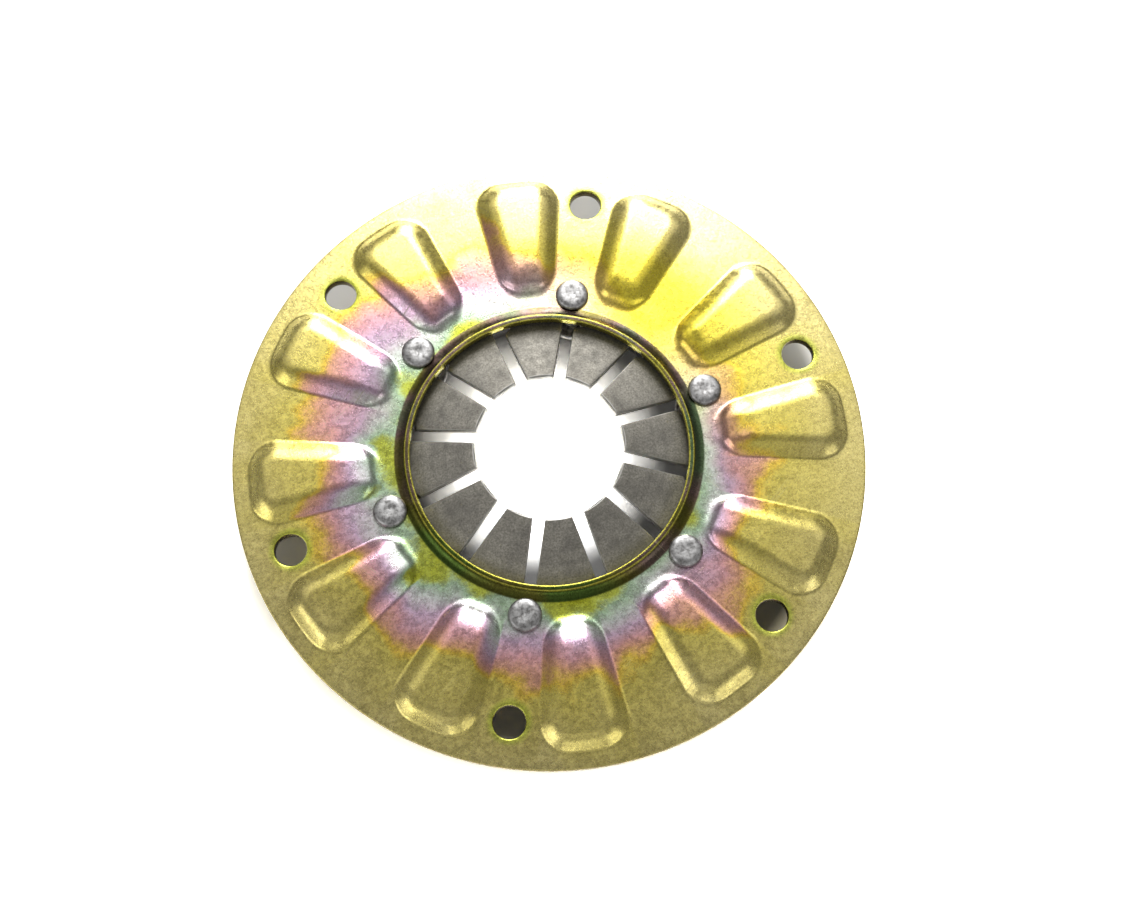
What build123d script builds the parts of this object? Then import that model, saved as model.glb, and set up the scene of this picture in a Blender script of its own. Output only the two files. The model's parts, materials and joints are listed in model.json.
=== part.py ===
from build123d import *
from math import cos, radians, sin, sqrt, tan
import os

# Clutch pressure plate: a flat pressed cover that bolts to a flywheel housing, a coned diaphragm
# spring rocking between two wire rings, and an iron pressure ring clipped to the spring's rim.
#
# Millimetres. The origin is the centre of the cover's mounting face, +Z points from the
# flywheel side towards the release bearing, and one bolt hole lies on +X.

# ------------------------------------------------------------------ driving dimensions
SECTORS = 6                  # bolts, rivets, lugs and clips, one of each per sector
SECTOR_ANGLE = 360 / SECTORS
RIBS = 12                    # ribs, fingers and finger slots
RIB_PITCH = 360 / RIBS

# cover, pressed from sheet
SHEET = 3.0                  # thickness of the sheet
COVER_R = 84.0               # outer radius
BOLT_CIRCLE_R = 72.5
BOLT_HOLE_R = 4.25
HOLE_EDGE_R = 0.35           # burnished edge of each bolt hole
DISH_OUTER_R = 62.0          # the sheet dips gently from here ...
DISH_INNER_R = 48.5          # ... to here, just outside the rivets' seats
DISH_DEPTH = 0.3
RIM_EDGE_R = 0.5             # rounded edge of the blanked rim

# lip turned up round the centre opening
OPENING_R = 37.0
LIP_HEIGHT = 1.4             # above the sheet beside it
LIP_TOP_WIDTH = 1.5
LIP_FOOT_R = 41.3            # where the outside curve of the lip meets the sheet
LIP_BEND_R = 2.6             # bend on the underside
LIP_EDGE_R = 0.35

# radial ribs, pressed up from the sheet
RIB_HEIGHT = 2.5
RIB_OUTER_R = 79.7           # at the foot of the rib
RIB_INNER_R = 44.4
RIB_FOOT_ANGLE = 9.0         # half angle at the foot
RIB_TOP_ANGLE = 4.6          # half angle of the flat top
RIB_WALL_RUN = 3.7           # how far the end walls slope inwards over the rib's height
RIB_OUTER_CORNER_R = 6.0
RIB_INNER_CORNER_R = 5.5
RIB_CROWN_R = 3.4            # rounding between the walls and the flat top
RIB_HOLLOW_INSET = 0.8       # how much narrower the hollow below is than the rib above
RIB_HOLLOW_CROWN_R = 1.2

# diaphragm spring
SPRING_SHEET = 2.3
CONE_ANGLE = 19.3            # slope of the free spring
FLAT_ANGLE = 5.0             # slope when it is pressed all the way
FULCRUM_R = 50.5             # circle on which the spring rocks
BELT_OUTER_R = 61.5
BELT_INNER_R = 46.6          # where the fingers leave the belt
TIP_R = 20.0                 # upper edge of the finger tips
SLOT_WIDTH = 3.2
WINDOW_WIDTH = 7.8           # each slot opens into a window that clears a rivet
WINDOW_INNER_R = 37.2
WINDOW_OUTER_R = 48.6
WINDOW_CORNER_R = 1.2
SPRING_EDGE_R = 0.35
ROOT_GAP = 0.06              # between a finger's root and the belt

# fulcrum wire rings
WIRE_R = 2.0
SEAT_GAP = 0.05              # between pieces that bear on each other and must not bind
WIRE_ENDS_GAP = 1.2          # the rings are bent from wire, and their ends almost meet

# shouldered rivets
RIVET_CIRCLE_R = 45.0
RIVET_HEAD_R = 4.5
RIVET_HEAD_HEIGHT = 1.9
RIVET_HEAD_EDGE = 0.75       # height at which the dome begins
RIVET_UNDERCUT_R = 3.5       # the head's edge lifts clear of the lip's curve
RIVET_UNDERCUT_HEIGHT = 0.25
RIVET_DIMPLE_R = 1.9         # shallow dish left by the riveting tool
RIVET_DIMPLE_DEPTH = 0.22
RIVET_DOME_BULGE = 0.36      # how far the dome stands outside its chord
RIVET_NECK_R = 2.9           # through the cover
RIVET_HOLE_R = 2.95
RIVET_SHOULDER_R = 3.2       # between cover and lower head
RIVET_FOOT_R = 6.9           # lower head, under the lower wire ring
RIVET_FOOT_HEIGHT = 1.9
RIVET_FOOT_EDGE_R = 0.6

# pressure ring
RING_INNER_R = 43.5
RING_OUTER_R = 77.0
RING_RIDGE_R = 59.5          # circle on which the spring presses
RING_RIDGE_WIDTH = 3.6
RING_RIDGE_TIP = 0.8         # half width of the ridge's crown
RING_EDGE = 0.8              # chamfer of its machined edges
RING_THICKNESS = 5.6
LUG_SHELF_R = 62.4           # outside this radius the lugs are cut down
LUG_SHELF_DROP = 0.8
NOTCH_R = 10.0               # half-round notches that ride on the housing's bolt pillars
POCKET_R = 8.0               # pockets in the ring's back that clear the rivets' lower heads
RUN_CLEARANCE = 0.4          # left between moving and fixed pieces at full travel

# retraction clips and their screws
CLIP_SHEET = 1.0
CLIP_WIDTH = 11.0
CLIP_REACH_R = 59.7          # how far in the hook reaches over the spring's rim
CLIP_RISER_R = 62.6          # inner face of the upright part
CLIP_FOOT_R = 74.2
CLIP_BEND_R = 0.8
CLIP_CORNER_R = 2.0
SCREW_CIRCLE_R = 69.4
SCREW_R = 2.5
SCREW_HOLE_R = 2.55
SCREW_LENGTH = 3.6           # below the clip's foot
SCREW_HEX_ACROSS_FLATS = 8.0
SCREW_HEAD_HEIGHT = 3.2
SCREW_WASHER_R = 4.8
SCREW_WASHER_HEIGHT = 0.7

# ------------------------------------------------------------------ heights worked out
cover_top = SHEET
hub_top = SHEET - DISH_DEPTH
hub_bottom = -DISH_DEPTH
lip_top = hub_top + LIP_HEIGHT

cone = radians(CONE_ANGLE)
half_sheet = SPRING_SHEET / 2
wire_reach = half_sheet + WIRE_R + SEAT_GAP    # spring's middle to the middle of a wire ring
upper_wire_z = hub_bottom - SEAT_GAP - WIRE_R
fulcrum_z = upper_wire_z - wire_reach / cos(cone)
lower_wire_z = fulcrum_z - wire_reach / cos(cone)
rivet_foot_top = lower_wire_z - WIRE_R - SEAT_GAP
rivet_foot_bottom = rivet_foot_top - RIVET_FOOT_HEIGHT

# how far the spring lifts the ring between its free slope and its pressed slope
ring_lift = (RING_RIDGE_R - FULCRUM_R) * (tan(cone) - tan(radians(FLAT_ANGLE)))


def spring_underside(radius):
    """Height of the free spring's lower face at a radius."""
    return fulcrum_z - (radius - FULCRUM_R) * tan(cone) - half_sheet / cos(cone)


ridge_top = spring_underside(RING_RIDGE_R) - SEAT_GAP
ring_back = lower_wire_z - WIRE_R - ring_lift - RUN_CLEARANCE
friction_z = ring_back - RING_THICKNESS
pocket_floor = rivet_foot_bottom - ring_lift - RUN_CLEARANCE
lug_shelf_z = ring_back - LUG_SHELF_DROP

RIB_ANGLES = [RIB_PITCH * (i + 0.5) for i in range(RIBS)]
CLIP_ANGLES = [SECTOR_ANGLE * (i + 0.5) for i in range(SECTORS)]
RIVET_ANGLES = [SECTOR_ANGLE * i for i in range(SECTORS)]
REACH = 2 * COVER_R          # longer than anything it has to cut through

os.makedirs("parts", exist_ok=True)


def polar(radius, angle):
    """Point on the sketch plane at a radius and an angle in degrees."""
    return (radius * cos(radians(angle)), radius * sin(radians(angle)))


def sector_outline(inner_r, outer_r, half_angle):
    """Lines and arcs round a slice of a ring that is centred on +X, for the open line builder."""
    low_in, low_out = polar(inner_r, -half_angle), polar(outer_r, -half_angle)
    high_out, high_in = polar(outer_r, half_angle), polar(inner_r, half_angle)
    Line(low_in, low_out)
    ThreePointArc(low_out, (outer_r, 0), high_out)
    Line(high_out, high_in)
    ThreePointArc(high_in, (inner_r, 0), low_in)


def finish(builder, name):
    """Labels a finished piece and writes its STEP file."""
    builder.part.label = name
    export_step(builder.part, f"parts/{name}.step")


def finish_turned(builder, name, angle):
    """Writes a copy of a piece that was built on +X, turned about Z to its own place."""
    piece = builder.part.rotate(Axis.Z, angle)
    piece.label = name
    export_step(piece, f"parts/{name}.step")


# ------------------------------------------------------------------ cover
# A rib is a loft between its foot, sunk into the sheet, and its flat top.
wall_run_angle = (RIB_FOOT_ANGLE - RIB_TOP_ANGLE) / RIB_HEIGHT    # degrees of slope per mm
wall_run_end = RIB_WALL_RUN / RIB_HEIGHT                          # mm of slope per mm


def rib_level(height, inset):
    """Outline sizes of a rib at a height above the flange: inner radius, outer radius, half angle."""
    middle_r = (RIB_INNER_R + RIB_OUTER_R) / 2
    inset_angle = inset / radians(1) / middle_r
    return (
        RIB_INNER_R + wall_run_end * height + inset,
        RIB_OUTER_R - wall_run_end * height - inset,
        RIB_FOOT_ANGLE - wall_run_angle * height - inset_angle,
    )


RIB_SINK = 1.4
CORNER_SHRINK = 0.45         # the corners of the top are tighter than those of the foot

with BuildPart() as rib:
    for height, shrink in ((-RIB_SINK, 1.0), (RIB_HEIGHT, CORNER_SHRINK)):
        with BuildSketch(Plane.XY.offset(cover_top + height)) as level:
            with BuildLine():
                sector_outline(*rib_level(height, 0))
            make_face()
            fillet(level.vertices().group_by(Axis.X)[-1], RIB_OUTER_CORNER_R * shrink)
            fillet(level.vertices().group_by(Axis.X)[0], RIB_INNER_CORNER_R * shrink)
    loft(ruled=True)
    fillet(rib.faces().sort_by(Axis.Z)[-1].edges(), RIB_CROWN_R)

with BuildPart() as rib_hollow:
    for height, shrink in ((-RIB_SINK, 1.0), (RIB_HEIGHT, CORNER_SHRINK)):
        with BuildSketch(Plane.XY.offset(height)) as level:
            with BuildLine():
                sector_outline(*rib_level(height, RIB_HOLLOW_INSET))
            make_face()
            fillet(level.vertices().group_by(Axis.X)[-1], RIB_OUTER_CORNER_R * shrink)
            fillet(level.vertices().group_by(Axis.X)[0], RIB_INNER_CORNER_R * shrink)
    loft(ruled=True)
    fillet(rib_hollow.faces().sort_by(Axis.Z)[-1].edges(), RIB_HOLLOW_CROWN_R)

lip_outer_r = OPENING_R + LIP_TOP_WIDTH
dish_middle_r = (DISH_INNER_R + DISH_OUTER_R) / 2

with BuildPart() as cover:
    with BuildSketch(Plane.XZ) as half_section:
        with BuildLine():
            Line((COVER_R, 0), (COVER_R, cover_top))
            Line((COVER_R, cover_top), (DISH_OUTER_R, cover_top))
            dip = TangentArc(
                (DISH_OUTER_R, cover_top),
                (dish_middle_r, cover_top - DISH_DEPTH / 2),
                tangent=(-1, 0),
            )
            TangentArc(dip @ 1, (DISH_INNER_R, hub_top), tangent=dip % 1)
            Line((DISH_INNER_R, hub_top), (LIP_FOOT_R, hub_top))
            rise = TangentArc(
                (LIP_FOOT_R, hub_top),
                (lip_outer_r, lip_top - LIP_EDGE_R),
                tangent=(-1, 0),
            )
            Line(rise @ 1, (lip_outer_r, lip_top))
            Line((lip_outer_r, lip_top), (OPENING_R, lip_top))
            Line((OPENING_R, lip_top), (OPENING_R, hub_bottom + LIP_BEND_R))
            RadiusArc(
                (OPENING_R, hub_bottom + LIP_BEND_R),
                (OPENING_R + LIP_BEND_R, hub_bottom),
                -LIP_BEND_R,
            )
            Line((OPENING_R + LIP_BEND_R, hub_bottom), (DISH_INNER_R, hub_bottom))
            climb = TangentArc(
                (DISH_INNER_R, hub_bottom),
                (dish_middle_r, -DISH_DEPTH / 2),
                tangent=(1, 0),
            )
            TangentArc(climb @ 1, (DISH_OUTER_R, 0), tangent=climb % 1)
            Line((DISH_OUTER_R, 0), (COVER_R, 0))
        make_face()
        rim_corners = half_section.vertices().group_by(Axis.X)[-1]
        fillet(rim_corners, RIM_EDGE_R)
        lip_corners = half_section.vertices().group_by(Axis.Y)[-1]
        fillet(lip_corners, LIP_EDGE_R / 2)
    revolve(axis=Axis.Z)
    with PolarLocations(0, RIBS, start_angle=RIB_PITCH / 2):
        add(rib.part)
    with PolarLocations(0, RIBS, start_angle=RIB_PITCH / 2):
        add(rib_hollow.part, mode=Mode.SUBTRACT)
    with PolarLocations(BOLT_CIRCLE_R, SECTORS):
        Hole(BOLT_HOLE_R)
    with PolarLocations(RIVET_CIRCLE_R, SECTORS):
        Hole(RIVET_HOLE_R)
    round_edges = cover.edges().filter_by(GeomType.CIRCLE)
    fillet(round_edges.filter_by(lambda e: abs(e.radius - BOLT_HOLE_R) < HOLE_EDGE_R), HOLE_EDGE_R)
finish(cover, "cover")

# ------------------------------------------------------------------ diaphragm spring
# The sheet's own plane: local x runs outwards down the cone, local y stands on its upper face.
spring_plane = Plane(
    origin=(FULCRUM_R, 0, fulcrum_z),
    x_dir=(cos(cone), 0, -sin(cone)),
    z_dir=(0, -1, 0),
)
tip_s = (TIP_R - FULCRUM_R - half_sheet * sin(cone)) / cos(cone)
root_s = (BELT_INNER_R - FULCRUM_R) / cos(cone)
rim_s = (BELT_OUTER_R - FULCRUM_R - half_sheet * sin(cone)) / cos(cone)


def window_outline(mode):
    """Rounded window between two fingers on +X, for the open sketch."""
    with Locations(((WINDOW_INNER_R + WINDOW_OUTER_R) / 2, 0)):
        RectangleRounded(
            WINDOW_OUTER_R - WINDOW_INNER_R, WINDOW_WIDTH, WINDOW_CORNER_R, mode=mode
        )


with BuildPart() as belt:
    with BuildSketch(spring_plane) as belt_section:
        with Locations(((root_s + rim_s) / 2, 0)):
            Rectangle(rim_s - root_s, SPRING_SHEET)
        fillet(belt_section.vertices().group_by(Axis.X)[-1], SPRING_EDGE_R)
    revolve(axis=Axis.Z)
    with BuildSketch(Plane.XY.offset(-REACH / 2)):
        with PolarLocations(0, RIBS):
            window_outline(Mode.ADD)
    extrude(amount=REACH, mode=Mode.SUBTRACT)
finish(belt, "diaphragm_belt")

with BuildPart() as finger:
    with BuildSketch(spring_plane) as finger_section:
        with Locations(((tip_s + root_s - ROOT_GAP) / 2, 0)):
            Rectangle(root_s - ROOT_GAP - tip_s, SPRING_SHEET)
        fillet(finger_section.vertices().group_by(Axis.X)[0], SPRING_EDGE_R)
    revolve(axis=Axis.Z)
    with BuildSketch(Plane.XY.offset(-REACH / 2)) as finger_plan:
        with BuildLine():
            sector_outline(TIP_R / 2, FULCRUM_R, RIB_PITCH / 2)
        make_face()
        for side in (-1, 1):
            with PolarLocations(0, 1, start_angle=side * RIB_PITCH / 2):
                with Locations((WINDOW_INNER_R / 2, 0)):
                    Rectangle(WINDOW_INNER_R + 1, SLOT_WIDTH, mode=Mode.SUBTRACT)
                window_outline(Mode.SUBTRACT)
    extrude(amount=REACH, mode=Mode.INTERSECT)
for i, angle in enumerate(RIB_ANGLES):
    finish_turned(finger, f"diaphragm_finger_{i + 1:02d}", angle)

# ------------------------------------------------------------------ fulcrum wire rings
wire_sweep = 360 - WIRE_ENDS_GAP / radians(1) / FULCRUM_R
for name, height in (("upper_fulcrum_ring", upper_wire_z), ("lower_fulcrum_ring", lower_wire_z)):
    with BuildPart() as wire_ring:
        with BuildSketch(Plane.XZ):
            with Locations((FULCRUM_R, height)):
                Circle(WIRE_R)
        revolve(axis=Axis.Z, revolution_arc=wire_sweep)
    finish(wire_ring, name)

# ------------------------------------------------------------------ shouldered rivet
dome_start = hub_top + RIVET_HEAD_EDGE
head_top = hub_top + RIVET_HEAD_HEIGHT

with BuildPart() as rivet:
    with BuildSketch(Plane.XZ) as rivet_section:
        with BuildLine():
            Line((0, rivet_foot_bottom), (0, head_top - RIVET_DIMPLE_DEPTH))
            dimple = RadiusArc(
                (0, head_top - RIVET_DIMPLE_DEPTH),
                (RIVET_DIMPLE_R, head_top),
                -RIVET_DIMPLE_R**2 / RIVET_DIMPLE_DEPTH / 2,
            )
            dome = Line(dimple @ 1, (RIVET_HEAD_R, dome_start), mode=Mode.PRIVATE)
            outwards = Vector(head_top - dome_start, RIVET_HEAD_R - RIVET_DIMPLE_R).normalized()
            ThreePointArc(dome @ 0, dome @ 0.5 + outwards * RIVET_DOME_BULGE, dome @ 1)
            Polyline(
                (RIVET_HEAD_R, dome_start),
                (RIVET_HEAD_R, hub_top + RIVET_UNDERCUT_HEIGHT),
                (RIVET_UNDERCUT_R, hub_top),
                (RIVET_NECK_R, hub_top),
                (RIVET_NECK_R, hub_bottom),
                (RIVET_SHOULDER_R, hub_bottom),
                (RIVET_SHOULDER_R, rivet_foot_top),
                (RIVET_FOOT_R, rivet_foot_top),
                (RIVET_FOOT_R, rivet_foot_bottom),
                (0, rivet_foot_bottom),
            )
        make_face()
        fillet(rivet_section.vertices().group_by(Axis.X)[-1], RIVET_FOOT_EDGE_R)
    revolve(axis=Axis.Z)

for i, angle in enumerate(RIVET_ANGLES):
    placed = rivet.part.translate((RIVET_CIRCLE_R, 0, 0)).rotate(Axis.Z, angle)
    placed.label = f"shouldered_rivet_{i + 1}"
    export_step(placed, f"parts/{placed.label}.step")

# ------------------------------------------------------------------ pressure ring
ridge_foot_in = RING_RIDGE_R - RING_RIDGE_WIDTH
ridge_foot_out = RING_RIDGE_R + RING_RIDGE_WIDTH * 0.8

with BuildPart() as ring:
    with BuildSketch(Plane.XZ) as ring_section:
        with BuildLine():
            Polyline(
                (RING_INNER_R, friction_z),
                (RING_INNER_R, ring_back),
                (ridge_foot_in, ring_back),
                (RING_RIDGE_R - RING_RIDGE_TIP, ridge_top),
                (RING_RIDGE_R + RING_RIDGE_TIP, ridge_top - 2 * RING_RIDGE_TIP * tan(cone)),
                (ridge_foot_out, ring_back),
                (LUG_SHELF_R, ring_back),
                (LUG_SHELF_R, lug_shelf_z),
                (RING_OUTER_R, lug_shelf_z),
                (RING_OUTER_R, friction_z),
                (RING_INNER_R, friction_z),
            )
        make_face()
    revolve(axis=Axis.Z)
    # notches for the housing's pillars, open outwards
    with BuildSketch(Plane.XY.offset(friction_z)) as notches:
        with PolarLocations(0, SECTORS):
            with Locations((BOLT_CIRCLE_R, 0)):
                Circle(NOTCH_R)
            with Locations((BOLT_CIRCLE_R + NOTCH_R, 0)):
                Rectangle(2 * NOTCH_R, 2 * NOTCH_R)
    extrude(amount=REACH, mode=Mode.SUBTRACT)
    # pockets for the rivets' lower heads, open to the bore
    with BuildSketch(Plane.XY.offset(pocket_floor)):
        with PolarLocations(RIVET_CIRCLE_R, SECTORS):
            Circle(POCKET_R)
    extrude(amount=REACH, mode=Mode.SUBTRACT)
    lug_corners = ring.edges().filter_by(Axis.Z).group_by(SortBy.DISTANCE)[-1]
    fillet(lug_corners, RING_EDGE * 2)
    chamfer(ring.faces().sort_by(Axis.Z)[0].edges(), RING_EDGE / 2)
    with Locations(*[(*polar(SCREW_CIRCLE_R, a), lug_shelf_z) for a in CLIP_ANGLES]):
        Hole(SCREW_HOLE_R, depth=SCREW_LENGTH + RUN_CLEARANCE)    # blind, short of the friction face
finish(ring, "pressure_ring")

# ------------------------------------------------------------------ retraction clips
# A strip bent in a Z: a foot on the lug, an upright outside the spring, a hook over its rim.
rim_top = fulcrum_z - rim_s * sin(cone) + half_sheet * cos(cone)
hook_under = rim_top + SEAT_GAP + (BELT_OUTER_R - CLIP_REACH_R) * tan(cone)
foot_top = lug_shelf_z + CLIP_SHEET
hook_top = hook_under + CLIP_SHEET

with BuildPart() as clip:
    with BuildSketch(Plane.XZ) as clip_section:
        with BuildLine():
            Polyline(
                (CLIP_FOOT_R, lug_shelf_z),
                (CLIP_FOOT_R, foot_top),
                (CLIP_RISER_R + CLIP_SHEET, foot_top),
                (CLIP_RISER_R + CLIP_SHEET, hook_top),
                (CLIP_REACH_R, hook_top),
                (CLIP_REACH_R, hook_under),
                (CLIP_RISER_R, hook_under),
                (CLIP_RISER_R, lug_shelf_z),
                (CLIP_FOOT_R, lug_shelf_z),
            )
        make_face()
        bends = clip_section.vertices().filter_by(
            lambda v: abs(v.X - CLIP_RISER_R - CLIP_SHEET) < SEAT_GAP
        )
        fillet(bends, CLIP_BEND_R)
    extrude(amount=CLIP_WIDTH / 2, both=True)
    with Locations((SCREW_CIRCLE_R, 0, foot_top)):
        Hole(SCREW_HOLE_R)
    foot_corners = clip.edges().filter_by(Axis.Z).group_by(Axis.X)[-1]
    fillet(foot_corners, CLIP_CORNER_R)

with BuildPart() as screw:
    with BuildSketch(Plane.XY.offset(lug_shelf_z - SCREW_LENGTH)):
        Circle(SCREW_R)
    extrude(amount=SCREW_LENGTH + CLIP_SHEET)
    with BuildSketch(Plane.XY.offset(foot_top)):
        Circle(SCREW_WASHER_R)
    extrude(amount=SCREW_WASHER_HEIGHT)
    with BuildSketch(Plane.XY.offset(foot_top + SCREW_WASHER_HEIGHT)):
        RegularPolygon(SCREW_HEX_ACROSS_FLATS / sqrt(3), 6)
    extrude(amount=SCREW_HEAD_HEIGHT - SCREW_WASHER_HEIGHT)

for i, angle in enumerate(CLIP_ANGLES):
    finish_turned(clip, f"retraction_clip_{i + 1}", angle)
    placed = screw.part.translate((SCREW_CIRCLE_R, 0, 0)).rotate(Axis.Z, angle)
    placed.label = f"clip_screw_{i + 1}"
    export_step(placed, f"parts/{placed.label}.step")

tip_top = fulcrum_z - tip_s * sin(cone) + half_sheet * cos(cone)
swing = CONE_ANGLE - FLAT_ANGLE
print(f"fulcrum z {fulcrum_z:.3f}, tip top z {tip_top:.3f}, ridge top z {ridge_top:.3f}")
print(f"friction face z {friction_z:.3f}, ring back z {ring_back:.3f}, lift {ring_lift:.3f}")
print(f"finger swing {swing:.1f} degrees, {radians(swing) / ring_lift * 1000:.3f} rad per metre")
print(f"hook top z {hook_top:.3f}, pocket floor z {pocket_floor:.3f}")
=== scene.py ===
import json
from collections import namedtuple
from math import asin, atan2, cos, degrees, pi, radians, sin, sqrt, tan

import bmesh
import bpy
import numpy as np
from mathutils import Matrix, Vector, noise


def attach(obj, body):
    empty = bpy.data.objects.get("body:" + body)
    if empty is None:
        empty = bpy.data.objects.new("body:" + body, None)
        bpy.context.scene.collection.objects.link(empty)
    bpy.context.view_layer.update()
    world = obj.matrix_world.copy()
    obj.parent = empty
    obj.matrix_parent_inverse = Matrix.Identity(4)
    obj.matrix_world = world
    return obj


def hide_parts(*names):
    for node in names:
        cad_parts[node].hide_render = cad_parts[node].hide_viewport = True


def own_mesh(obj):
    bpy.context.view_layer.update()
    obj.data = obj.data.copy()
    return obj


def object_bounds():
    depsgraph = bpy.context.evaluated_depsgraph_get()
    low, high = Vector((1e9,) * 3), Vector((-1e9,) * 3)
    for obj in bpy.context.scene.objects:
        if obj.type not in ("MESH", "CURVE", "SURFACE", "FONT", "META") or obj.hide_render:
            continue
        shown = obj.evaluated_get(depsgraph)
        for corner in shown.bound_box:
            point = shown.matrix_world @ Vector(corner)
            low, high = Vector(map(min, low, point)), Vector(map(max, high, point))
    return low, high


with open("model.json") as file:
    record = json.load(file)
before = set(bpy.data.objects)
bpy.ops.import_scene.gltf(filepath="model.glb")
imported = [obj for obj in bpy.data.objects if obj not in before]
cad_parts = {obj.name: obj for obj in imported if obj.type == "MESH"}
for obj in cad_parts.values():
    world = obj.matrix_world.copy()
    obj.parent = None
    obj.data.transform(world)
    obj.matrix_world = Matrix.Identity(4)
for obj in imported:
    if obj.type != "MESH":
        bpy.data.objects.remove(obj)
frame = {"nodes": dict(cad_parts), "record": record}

cad_low, cad_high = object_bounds()

MM = 0.001
TURN = 2 * pi

# ------------------------------------------------------------------ sizes, in millimetres
# the pressed cover
SHEET = 3.0
COVER_R = 84.0
RIM_ROUND = 0.45
BOLT_CIRCLE_R = 72.5
BOLT_HOLE_R = 4.25
BOLT_HOLE_ROUND = 0.35
DISH_OUTER_R = 62.0
DISH_INNER_R = 48.5
DISH_DEPTH = 0.3
HUB_TOP = SHEET - DISH_DEPTH
OPENING_R = 37.0
LIP_HEIGHT = 1.4
LIP_TOP_R = 38.5             # outer edge of the lip's flat top
LIP_EDGE = 0.22              # rounding of the flat top's edges
LIP_FOOT_R = 41.3
LIP_BEND_R = 2.6

# its ribs
RIBS = 12
SECTORS = 6                  # a bolt hole and a rivet in every second gap between the ribs
RIB_HEIGHT = 2.35
RIB_OUTER_R = 79.7
RIB_INNER_R = 43.4
RIB_HALF_ANGLE = radians(9.0)
RIB_WALL = 6.0               # width of the wall between the foot and the flat top, seen from above
RIB_END_WALL = 5.6           # the same at the outer end
RIB_FADE = 10.5              # the same at the inner end
RIB_CORNER_R = 7.8
RIB_INNER_CORNER_R = 5.2
RIB_INSET = 0.8              # how much narrower the hollow below is
WALL_STRAIGHT = 0.35         # share of the wall that is straight, below the rounded crown
CREASE = 0.10                # share of the wall that is rounded where it meets the flange
SOFT_CREASE = 0.75           # the same at the rib's inner end, which fades into the hub
SOFT_REACH = 9.0             # how far out from the inner end the softer crease ends

# the rivets and the wire rings
RIVET_CIRCLE_R = 45.0
RIVET_HOLE_R = 2.95
RIVET_HOLE_ROUND = 0.1
RIVET_HEAD_R = 4.45
RIVET_HEAD_EDGE = 0.62       # height of the head's edge above the sheet
RIVET_DOME = 1.07            # how much higher the middle of the head stands
RIVET_NECK_R = 2.9
RIVET_SHOULDER_R = 3.2
RIVET_FOOT_R = 6.9
RIVET_FOOT_HEIGHT = 1.9
RIVET_FOOT_ROUND = 0.6
WIRE_R = 2.0
SEAT_GAP = 0.05

# the diaphragm spring
HALF_SPRING = 1.15           # half of its thickness
FULCRUM_R = 50.5
FULCRUM_Z = -5.741
CONE = radians(19.3)         # slope of the free spring
TIP_R = 20.0
ROOT_R = 46.54
ROOT_GAP = 0.30              # room for a finger's root to swing beside the belt
HALF_SLOT = 1.6
HALF_WINDOW = 3.9
WINDOW_INNER_R = 37.2
WINDOW_CORNER_R = 1.2
FINGER_EDGE = 0.33           # rounding of the blanked and tumbled edges

# ------------------------------------------------------------------ camera
# Standing in front of the part and well above it. The part's +X bolt points up and to the right.
PART_TURN = radians(22.95)
CAMERA_ELEVATION = radians(72.14)
CAMERA_DISTANCE = 412.3 * MM
CAMERA_RIGHT = 3.5 * MM
CAMERA_ROLL = 0.014          # radians
CAMERA_LENS_MM = 49.73
SENSOR_MM = 36.0

to_part = Matrix.Rotation(-PART_TURN, 4, "Z")    # from the studio's axes to the part's axes


def make_camera():
    """The camera, placed in the studio's axes and turned with them."""
    back = Vector((0, -cos(CAMERA_ELEVATION), sin(CAMERA_ELEVATION)))
    right = Vector((1, 0, 0))
    up = back.cross(right)
    facing = Matrix((right, up, back)).transposed().to_4x4()
    aim = Vector((0, 0, SHEET * MM))
    place = Matrix.Translation(aim + right * CAMERA_RIGHT + back * CAMERA_DISTANCE)
    data = bpy.data.cameras.new("camera")
    data.sensor_width = SENSOR_MM
    data.lens = CAMERA_LENS_MM
    data.clip_start = 0.01
    data.clip_end = 20
    camera = bpy.data.objects.new("camera", data)
    camera.matrix_world = to_part @ place @ facing @ Matrix.Rotation(CAMERA_ROLL, 4, "Z")
    bpy.context.scene.collection.objects.link(camera)
    bpy.context.scene.camera = camera


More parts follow.
